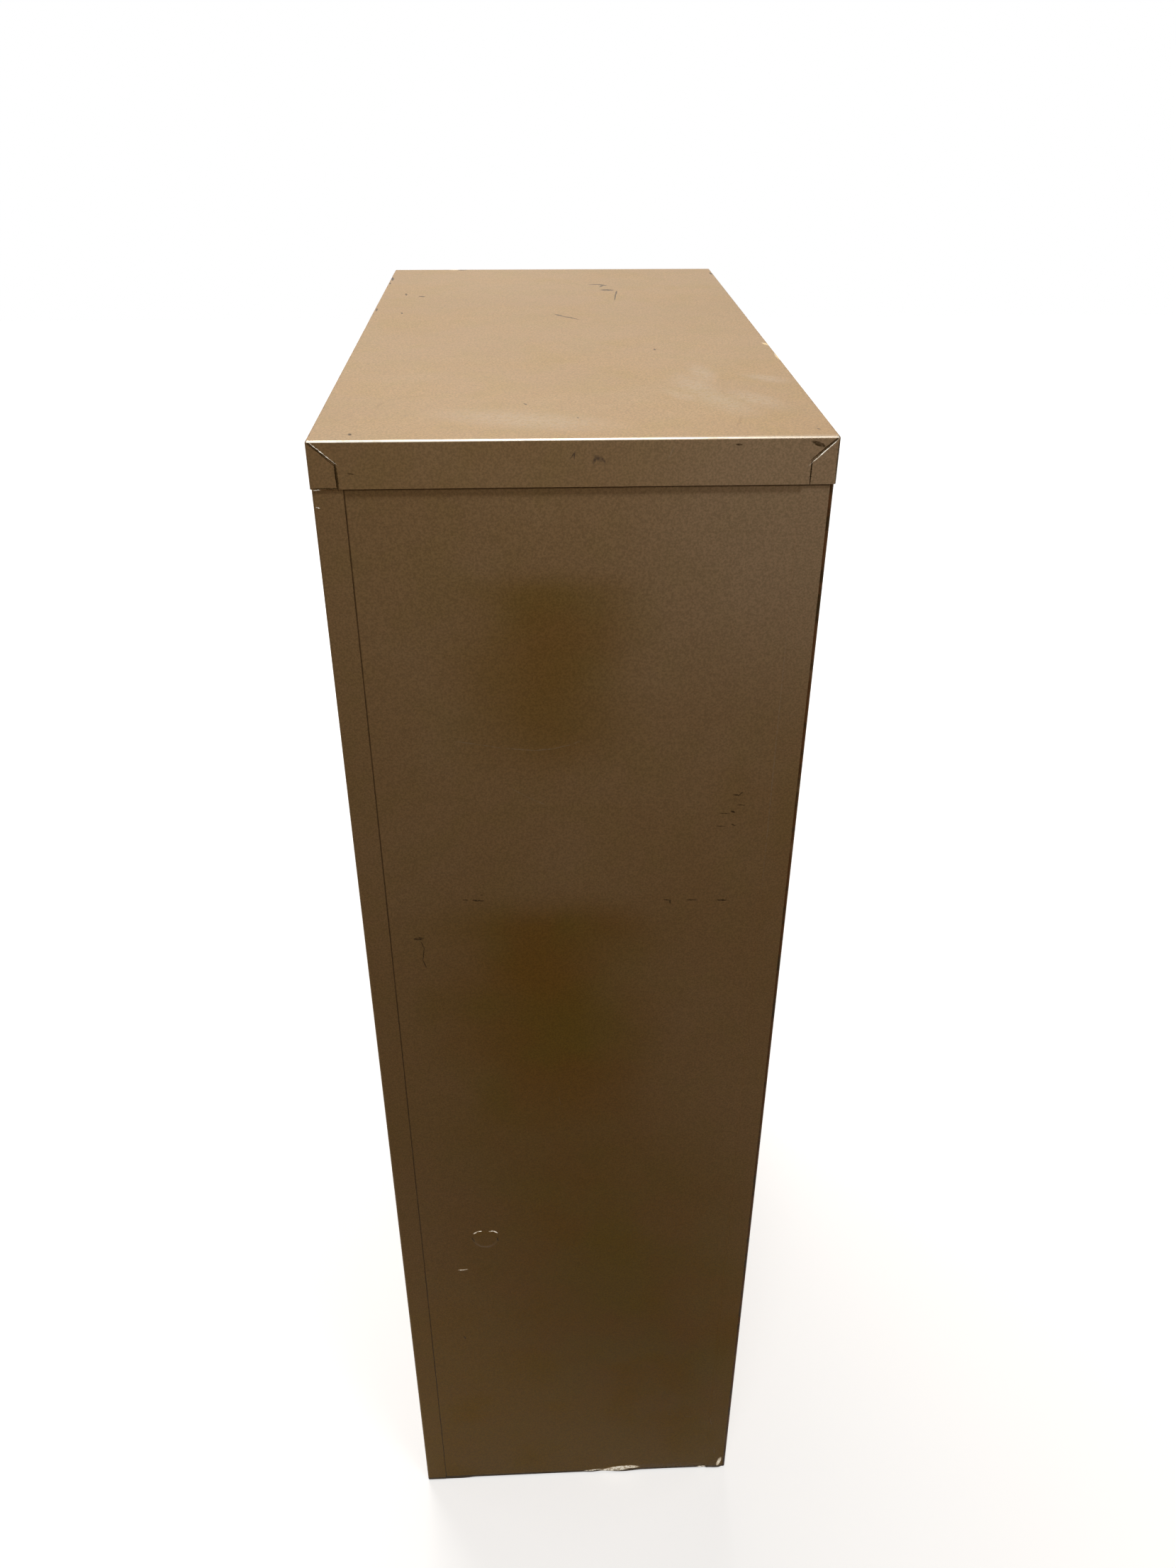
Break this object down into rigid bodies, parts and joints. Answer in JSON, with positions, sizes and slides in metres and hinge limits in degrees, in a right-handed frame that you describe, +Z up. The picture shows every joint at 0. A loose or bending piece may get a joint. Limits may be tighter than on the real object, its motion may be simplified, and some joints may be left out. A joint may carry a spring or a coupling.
{
  "type": "filing cabinet",
  "caption": "Tall upright steel filing cabinet with full-extension drawers, bow pulls, thumb latches and a plain lapped back panel.",
  "frame": {"origin": "on the floor, under the middle of the overall box with the pulls", "axes": "+Z up, drawers open towards -Y, plain back faces +Y, +X is the cabinet's right side"},
  "size_m": [0.381, 0.754, 1.327],
  "materials": {
    "case_paint": "semi-gloss bronze-beige enamel, worn",
    "drawer_paint": "semi-gloss bronze-beige enamel",
    "inner_paint": "thin inner coat of the same enamel",
    "rail_steel": "zinc-plated steel",
    "spring_steel": "spring wire",
    "glide_steel": "plated steel",
    "chrome_trim": "satin chrome",
    "nylon": "natural nylon"
  },
  "bodies": {
    "case": {"top_cover": "case_paint", "left_side_panel": "case_paint", "right_side_panel": "case_paint", "back_panel": "case_paint", "bottom_pan": "inner_paint", "front_rails": "case_paint", "divider_rails": "inner_paint", "uprights": "inner_paint", "case_rails": "rail_steel", "latch_strikes": "rail_steel", "corner_gussets": "inner_paint", "levelling_glides": "glide_steel"},
    "drawer_1": {"drawer_1_tray": "inner_paint", "drawer_1_back": "inner_paint", "drawer_1_head": "drawer_paint", "drawer_1_liner": "inner_paint", "drawer_1_pull": "chrome_trim", "drawer_1_label_holder": "chrome_trim", "drawer_1_runners": "rail_steel", "drawer_1_latch_spring": "spring_steel"},
    "latch_1": {"drawer_1_latch": "chrome_trim"},
    "follower_1": {"drawer_1_follower": "inner_paint"},
    "carriage_1": {"drawer_1_middle_rails": "rail_steel", "drawer_1_rollers": "nylon"},
    "drawer_2": {"drawer_2_tray": "inner_paint", "drawer_2_back": "inner_paint", "drawer_2_head": "drawer_paint", "drawer_2_liner": "inner_paint", "drawer_2_pull": "chrome_trim", "drawer_2_label_holder": "chrome_trim", "drawer_2_runners": "rail_steel", "drawer_2_latch_spring": "spring_steel"},
    "latch_2": {"drawer_2_latch": "chrome_trim"},
    "follower_2": {"drawer_2_follower": "inner_paint"},
    "carriage_2": {"drawer_2_middle_rails": "rail_steel", "drawer_2_rollers": "nylon"},
    "drawer_3": {"drawer_3_tray": "inner_paint", "drawer_3_back": "inner_paint", "drawer_3_head": "drawer_paint", "drawer_3_liner": "inner_paint", "drawer_3_pull": "chrome_trim", "drawer_3_label_holder": "chrome_trim", "drawer_3_runners": "rail_steel", "drawer_3_latch_spring": "spring_steel"},
    "latch_3": {"drawer_3_latch": "chrome_trim"},
    "follower_3": {"drawer_3_follower": "inner_paint"},
    "carriage_3": {"drawer_3_middle_rails": "rail_steel", "drawer_3_rollers": "nylon"},
    "drawer_4": {"drawer_4_tray": "inner_paint", "drawer_4_back": "inner_paint", "drawer_4_head": "drawer_paint", "drawer_4_liner": "inner_paint", "drawer_4_pull": "chrome_trim", "drawer_4_label_holder": "chrome_trim", "drawer_4_runners": "rail_steel", "drawer_4_latch_spring": "spring_steel"},
    "latch_4": {"drawer_4_latch": "chrome_trim"},
    "follower_4": {"drawer_4_follower": "inner_paint"},
    "carriage_4": {"drawer_4_middle_rails": "rail_steel", "drawer_4_rollers": "nylon"}
  },
  "joints": [
    {"name": "drawer_1_slide", "type": "slide", "parent": "case", "child": "drawer_1", "axis": [0, -1, 0], "range_m": [0, 0.65]},
    {"name": "carriage_1_slide", "type": "slide", "parent": "case", "child": "carriage_1", "axis": [0, -1, 0], "range_m": [0, 0.325]},
    {"name": "latch_1_slide", "type": "slide", "parent": "drawer_1", "child": "latch_1", "axis": [-1, 0, 0], "range_m": [0, 0.008], "stiffness_N_per_m": 250, "springref_m": -0.004, "deforming": ["drawer_1_latch_spring"]},
    {"name": "follower_1_slide", "type": "slide", "parent": "drawer_1", "child": "follower_1", "axis": [0, -1, 0], "range_m": [0, 0.495]},
    {"name": "drawer_2_slide", "type": "slide", "parent": "case", "child": "drawer_2", "axis": [0, -1, 0], "range_m": [0, 0.65]},
    {"name": "carriage_2_slide", "type": "slide", "parent": "case", "child": "carriage_2", "axis": [0, -1, 0], "range_m": [0, 0.325]},
    {"name": "latch_2_slide", "type": "slide", "parent": "drawer_2", "child": "latch_2", "axis": [-1, 0, 0], "range_m": [0, 0.008], "stiffness_N_per_m": 250, "springref_m": -0.004, "deforming": ["drawer_2_latch_spring"]},
    {"name": "follower_2_slide", "type": "slide", "parent": "drawer_2", "child": "follower_2", "axis": [0, -1, 0], "range_m": [0, 0.495]},
    {"name": "drawer_3_slide", "type": "slide", "parent": "case", "child": "drawer_3", "axis": [0, -1, 0], "range_m": [0, 0.65]},
    {"name": "carriage_3_slide", "type": "slide", "parent": "case", "child": "carriage_3", "axis": [0, -1, 0], "range_m": [0, 0.325]},
    {"name": "latch_3_slide", "type": "slide", "parent": "drawer_3", "child": "latch_3", "axis": [-1, 0, 0], "range_m": [0, 0.008], "stiffness_N_per_m": 250, "springref_m": -0.004, "deforming": ["drawer_3_latch_spring"]},
    {"name": "follower_3_slide", "type": "slide", "parent": "drawer_3", "child": "follower_3", "axis": [0, -1, 0], "range_m": [0, 0.495]},
    {"name": "drawer_4_slide", "type": "slide", "parent": "case", "child": "drawer_4", "axis": [0, -1, 0], "range_m": [0, 0.65]},
    {"name": "carriage_4_slide", "type": "slide", "parent": "case", "child": "carriage_4", "axis": [0, -1, 0], "range_m": [0, 0.325]},
    {"name": "latch_4_slide", "type": "slide", "parent": "drawer_4", "child": "latch_4", "axis": [-1, 0, 0], "range_m": [0, 0.008], "stiffness_N_per_m": 250, "springref_m": -0.004, "deforming": ["drawer_4_latch_spring"]},
    {"name": "follower_4_slide", "type": "slide", "parent": "drawer_4", "child": "follower_4", "axis": [0, -1, 0], "range_m": [0, 0.495]}
  ],
  "couplings": [
    {"joint": "carriage_1_slide", "follows": "drawer_1_slide", "ratio": 0.5},
    {"joint": "carriage_2_slide", "follows": "drawer_2_slide", "ratio": 0.5},
    {"joint": "carriage_3_slide", "follows": "drawer_3_slide", "ratio": 0.5},
    {"joint": "carriage_4_slide", "follows": "drawer_4_slide", "ratio": 0.5}
  ]
}
